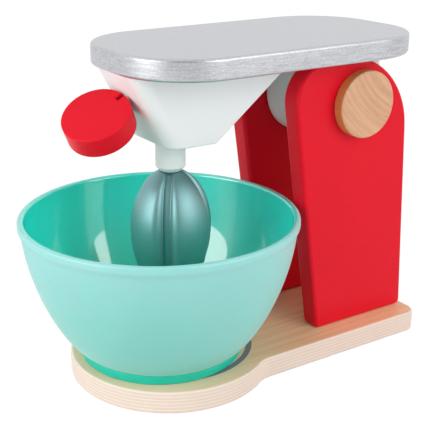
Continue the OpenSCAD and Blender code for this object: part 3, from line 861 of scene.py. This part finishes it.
@dataclass
class Head:
    """Tilting head: silver plate on top, white block and collar in front, hinge block behind."""

    plate_z: float = 169.3
    plate_t: float = 11.2
    plate_front_x: float = -35.0
    plate_back_x: float = 141.0
    plate_w: float = 96.5
    plate_r: float = 38.0
    plate_ease: float = 1.75
    block_w: float = 44.0
    block_z: float = 131.0
    bottom_front_x: float = -12.5
    bottom_back_x: float = 14.5
    top_front_x: float = -32.8
    top_back_x: float = 63.0
    block_corner_r: float = 8.0
    block_ease: float = 0.9
    collar_d: float = 16.0
    collar_h: float = 17.0
    collar_bevel: float = 2.4
    collar_ease: float = 0.6

    def plate(self) -> Mesh:
        """Saw the plate and lay it on its blocks.

        Returns:
            The plate's mesh.
        """
        half = self.plate_w / 2
        corners = [(self.plate_front_x, -half), (self.plate_back_x, -half),
                   (self.plate_back_x, half), (self.plate_front_x, half)]
        outline = rounded(corners, [self.plate_r] * len(corners), steps=32)
        mesh = eased_board(outline, self.plate_t, self.plate_ease, steps=5)
        mesh.transform(Matrix.Translation((0, 0, self.plate_z)))
        return mesh

    def block(self) -> Mesh:
        """Saw the block with its slanted ends, round its front corners and ease its edges.

        Returns:
            The block's mesh.
        """
        side = [(self.bottom_front_x, self.block_z), (self.bottom_back_x, self.block_z),
                (self.top_back_x, self.plate_z), (self.top_front_x, self.plate_z)]
        mesh = bmesh.new()
        rows = [[mesh.verts.new((x, s.value * self.block_w / 2, z)) for x, z in side] for s in Side]
        mesh.faces.new(rows[0])
        mesh.faces.new(rows[1])
        for i in range(len(side)):
            k = (i + 1) % len(side)
            mesh.faces.new((rows[0][i], rows[0][k], rows[1][k], rows[1][i]))
        bmesh.ops.recalc_face_normals(mesh, faces=mesh.faces)
        front = [mesh.edges.get((row[0], row[3])) for row in rows]
        bmesh.ops.bevel(mesh, geom=front, offset=self.block_corner_r, segments=12, profile=0.5,
                        affect="EDGES")
        edges = [e for e in mesh.edges if e.calc_face_angle(0) > SHARP_EDGE]
        bmesh.ops.bevel(mesh, geom=edges, offset=self.block_ease, segments=3, profile=0.5, affect="EDGES")
        return mesh

    def collar(self) -> Mesh:
        """Turn the collar under the block.

        Returns:
            The collar's mesh.
        """
        low = self.block_z - self.collar_h
        r = self.collar_d / 2
        profile = rounded([(0, low), (r - self.collar_bevel, low), (r, low + self.collar_bevel),
                           (r, self.block_z), (0, self.block_z)],
                          [0, self.collar_ease, self.collar_ease, 0, 0], steps=4)
        return turned(profile, segments=64)

    def build(self) -> None:
        """Build and dress the head."""
        place(self.plate(), "top_plate", "head", "silver_paint", SILVER)
        place(self.block(), "head_block", "head", "white_paint", WHITE)
        place(self.collar(), "whisk_collar", "head", "white_paint", WHITE)
        dress(WHITE, "hinge_block")
        dress(BEECH, "head_dowels", "hinge_dowels")
        dress(NYLON, "whisk_washer", "knob_washer")


@dataclass
class Whisk:
    """Turned egg with four upright grooves, on its spindle."""

    top_z: float = 113.6
    middle_z: float = 82.6
    tip_z: float = 43.6
    radius: float = 22.2
    neck_r: float = 6.0
    tip_r: float = 3.6
    groove_w: float = 3.3
    groove_d: float = 2.0
    fall_w: float = 8.0
    fall_d: float = 3.6
    # Where the egg is thin, the fall and the groove floors keep this many half grooves out.
    keep_out: float = 1.5
    edge_r: float = 0.5
    face_steps: int = 28
    rest_turn: float = 51.0
    rings_up: int = 30
    rings_down: int = 34

    def outline(self) -> list[Point]:
        """Return the egg's outline from its blunt tip up to its neck as radius and height.

        Returns:
            The outline's points.
        """
        low = self.middle_z - self.tip_z
        high = self.top_z - self.middle_z
        start = math.asin(self.tip_r / self.radius)
        end = math.acos(self.neck_r / self.radius)
        below = [start + (math.pi / 2 - start) * i / self.rings_down for i in range(self.rings_down + 1)]
        above = [end * i / self.rings_up for i in range(1, self.rings_up + 1)]
        return ([(self.radius * math.sin(a), self.middle_z - low * math.cos(a)) for a in below]
                + [(self.radius * math.cos(a), self.middle_z + high * math.sin(a) / math.sin(end))
                   for a in above])

    def quarter_section(self, limit: float) -> list[Point]:
        """Return the section from one groove's middle to just before the next one's.

        Args:
            limit: Radius of the egg at this height.

        Returns:
            Points of half a groove, a face that falls away softly to both grooves, and half the next one.
        """
        half = self.groove_w / 2
        mouth = half + self.edge_r
        fall = self.fall_d * limit / self.radius
        reach = max(self.fall_w * limit / self.radius, self.keep_out * mouth)
        side_r = limit - fall
        floor_r = max(side_r - self.groove_d, self.keep_out * half)
        floor = [(math.sqrt(floor_r ** 2 - y * y), y) for y in (0, half / 2, half)]
        lip = math.sqrt(side_r ** 2 - mouth ** 2) - self.edge_r
        edge = floor + arc((lip, mouth), self.edge_r, -90, 0, steps=3)
        first = math.asin(mouth / side_r)
        face = []
        for i in range(1, self.face_steps):
            turn = first + (math.pi / 2 - 2 * first) * i / self.face_steps
            from_groove = limit * math.sin(min(turn, math.pi / 2 - turn))
            r = limit - fall * max((reach - from_groove) / (reach - mouth), 0) ** 2
            face.append((r * math.cos(turn), r * math.sin(turn)))
        return edge + face + [(y, x) for x, y in reversed(edge[1:])]

    def ring(self, limit: float) -> list[Point]:
        """Return one whole section of the whisk.

        Args:
            limit: Radius of the egg at this height.

        Returns:
            The section's points.
        """
        points = []
        for quarter in range(4):
            turn = Matrix.Rotation(math.radians(self.rest_turn + 90 * quarter), 2)
            points += [tuple(turn @ Vector(p)) for p in self.quarter_section(limit)]
        return points

    def mesh(self) -> Mesh:
        """Loft the whisk through its sections.

        Returns:
            The whisk's mesh.
        """
        mesh = bmesh.new()
        rings = [[mesh.verts.new((x, y, z)) for x, y in self.ring(r)] for r, z in self.outline()]
        count = len(rings[0])
        for lower, upper in zip(rings, rings[1:]):
            for i in range(count):
                k = (i + 1) % count
                mesh.faces.new((lower[i], lower[k], upper[k], upper[i]))
        mesh.faces.new(rings[0])
        mesh.faces.new(rings[-1])
        return mesh

    def build(self) -> None:
        """Build and dress the whisk and its drive."""
        place(self.mesh(), "whisk", "whisk", "silver_whisk", WHISK_SILVER_PAINTED_REFLECTION)
        dress(STEEL, "whisk_spindle")
        dress(NYLON, "whisk_gear")


@dataclass
class Knob:
    """Red disc that stands on its rim, held by the flattened end of its spindle in a slot."""

    face_x: float = -24.585
    face_z: float = 153.8
    slope: float = 27.925
    rest_turn: float = -19.0
    diameter: float = 35.8
    thickness: float = 11.8
    stand_off: float = 0.8
    slot_l: float = 4.6
    slot_w: float = 2.28
    ease: float = 0.7

    def disc(self) -> Mesh:
        """Saw the disc with its slot and stand it on the head's front.

        Returns:
            The disc's mesh.
        """
        r = self.diameter / 2
        mouth = math.degrees(math.asin(self.slot_w / 2 / r))
        slot = [(r - self.slot_l, y) for y in (-self.slot_w / 2, self.slot_w / 2)]
        outline = arc((0, 0), r, mouth, 360 - mouth, steps=96) + slot
        mesh = eased_board(outline, self.thickness, self.ease)
        quarter = Matrix.Rotation(math.radians(90), 4, "Y")
        tilt = Matrix.Rotation(math.radians(-90 - self.slope), 4, "Y")
        turn = Matrix.Rotation(math.radians(self.rest_turn), 4, "Z")
        mesh.transform(Matrix.Translation((self.face_x, 0, self.face_z)) @ tilt @ turn
                       @ Matrix.Translation((0, 0, self.stand_off + r)) @ quarter
                       @ Matrix.Translation((0, 0, -self.thickness / 2)))
        return mesh

    def build(self) -> None:
        """Build and dress the knob and its drive."""
        place(self.disc(), "turn_knob", "knob", "red_paint", RED)
        dress(STEEL, "knob_spindle")
        dress(NYLON, "knob_gear")


# Studio

@dataclass(frozen=True)
class Lamp:
    """A soft box: where it hangs, how large it is and how much light it gives."""

    name: str
    place: Triple
    size: tuple[float, float]
    power: float


@dataclass
class Studio:
    """Pale floor, white surround, soft boxes and the photograph's camera."""

    aim: Triple = (0.04, 0.0, 0.08)
    floor_size: float = 6.0
    floor_colour: str = "#e6e6e6"
    floor_white: float = 0.92
    floor_shadow: str = "#707070"
    surround: float = 0.54
    backdrop: float = 0.6
    camera_place: Triple = (-0.2416, -0.4029, 0.2588)
    azimuth: float = 32.49
    elevation: float = 19.75
    focal_px: float = 929.47
    centre_px: Point = (194.49, 211.91)
    image_px: int = 430
    lamps: tuple[Lamp, ...] = (
        Lamp("key_box", (0.38, -0.92, 0.50), (0.72, 0.72), 4.3),
        Lamp("left_box", (-1.02, -0.02, 0.44), (0.75, 0.85), 6.4),
    )
    front_dim: float = 0.5
    front: Triple = (-0.537, -0.843, 0.0)

    def light_path(self, tree: Tree) -> Socket:
        """Return a socket that is one for rays that show the background.

        Args:
            tree: Node tree of the floor or the world.

        Returns:
            One for camera, glossy and transmission rays.
        """
        path = add_node(tree, "LightPath")
        seen = add_node(tree, "Math", {
            0: path.outputs["Is Camera Ray"], 1: path.outputs["Is Glossy Ray"]}, operation="MAXIMUM")
        both = add_node(tree, "Math", {
            0: seen.outputs[0], 1: path.outputs["Is Transmission Ray"]}, operation="MAXIMUM")
        return both.outputs[0]

    def build_floor(self) -> None:
        """Lay the floor, which looks white and keeps a faint shadow."""
        half = self.floor_size / 2
        data = bpy.data.meshes.new("floor")
        data.from_pydata([(-half, -half, 0), (half, -half, 0), (half, half, 0), (-half, half, 0)], [],
                         [(0, 1, 2, 3)])
        floor = bpy.data.objects.new("floor", data)
        bpy.context.scene.collection.objects.link(floor)
        material = bpy.data.materials.new("paper_sweep")
        material.use_nodes = True
        tree = material.node_tree
        tree.nodes.remove(tree.nodes["Principled BSDF"])
        paper = add_node(tree, "BsdfDiffuse", {"Color": linear(self.floor_colour)})
        shade = add_node(tree, "BsdfDiffuse", {"Color": linear(self.floor_shadow)})
        white = add_node(tree, "Emission", {"Strength": self.floor_white})
        shown = add_node(tree, "AddShader", {0: shade.outputs[0], 1: white.outputs[0]})
        mix = add_node(tree, "MixShader", {
            0: self.light_path(tree), 1: paper.outputs[0], 2: shown.outputs[0]})
        tree.links.new(mix.outputs[0], tree.nodes["Material Output"].inputs["Surface"])
        data.materials.append(material)

    def build_world(self) -> None:
        """Surround the object with soft white light and a white background."""
        world = bpy.data.worlds.new("white_surround")
        bpy.context.scene.world = world
        world.use_nodes = True
        tree = world.node_tree
        light = tree.nodes["Background"]
        light.inputs["Color"].default_value = (1, 1, 1, 1)
        white = add_node(tree, "Background", {"Color": (1, 1, 1, 1)})
        way = add_node(tree, "TexCoord")
        ahead = add_node(tree, "VectorMath", {0: way.outputs["Generated"], 1: self.front},
                         operation="DOT_PRODUCT")
        # The white paper behind the object is lit more than the room.
        glow = add_node(tree, "MapRange", {
            "Value": ahead.outputs["Value"], "From Min": -0.6, "From Max": 0.2,
            "To Min": self.backdrop, "To Max": self.surround})
        tree.links.new(glow.outputs["Result"], light.inputs["Strength"])
        # The room behind the photographer is dim, and only reflections show it.
        path = add_node(tree, "LightPath")
        room = add_node(tree, "MapRange", {
            "Value": ahead.outputs["Value"], "From Min": 0.1, "From Max": 0.7,
            "To Min": 1.0, "To Max": self.front_dim})
        seen = add_node(tree, "Math", {
            0: room.outputs["Result"], 1: path.outputs["Is Camera Ray"]}, operation="MAXIMUM")
        tree.links.new(seen.outputs[0], white.inputs["Strength"])
        mix = add_node(tree, "MixShader", {
            0: self.light_path(tree), 1: light.outputs[0], 2: white.outputs[0]})
        tree.links.new(mix.outputs[0], tree.nodes["World Output"].inputs["Surface"])

    def build_lamps(self) -> None:
        """Hang the soft boxes and point them at the object."""
        for lamp in self.lamps:
            light = bpy.data.lights.new(lamp.name, "AREA")
            light.shape = "RECTANGLE"
            light.size, light.size_y = lamp.size
            light.energy = lamp.power
            box = bpy.data.objects.new(lamp.name, light)
            box.location = lamp.place
            box.rotation_euler = (Vector(self.aim) - box.location).to_track_quat("-Z", "Y").to_euler()
            box.visible_camera = False
            bpy.context.scene.collection.objects.link(box)

    def build_camera(self) -> None:
        """Set the camera where the photograph was taken from."""
        data = bpy.data.cameras.new("photo_camera")
        data.sensor_width = 36.0
        data.lens = self.focal_px * data.sensor_width / self.image_px
        data.shift_x = 0.5 - self.centre_px[0] / self.image_px
        data.shift_y = self.centre_px[1] / self.image_px - 0.5
        data.clip_start = 0.01
        camera = bpy.data.objects.new("photo_camera", data)
        camera.location = self.camera_place
        camera.rotation_euler = (math.radians(90 - self.elevation), 0, math.radians(-self.azimuth))
        bpy.context.scene.collection.objects.link(camera)
        bpy.context.scene.camera = camera

    def build(self) -> None:
        """Set up the studio."""
        bpy.context.scene.view_settings.view_transform = "Standard"
        self.build_floor()
        self.build_world()
        self.build_lamps()
        self.build_camera()


def main() -> None:
    """Build and dress every piece and set up the studio."""
    logging.basicConfig(level=logging.INFO, format="%(message)s")
    for assembly in (Base(), Column(), Hinge(), Bowl(), Head(), Whisk(), Knob()):
        assembly.build()
    Studio().build()


if __name__ == "__main__":
    main()
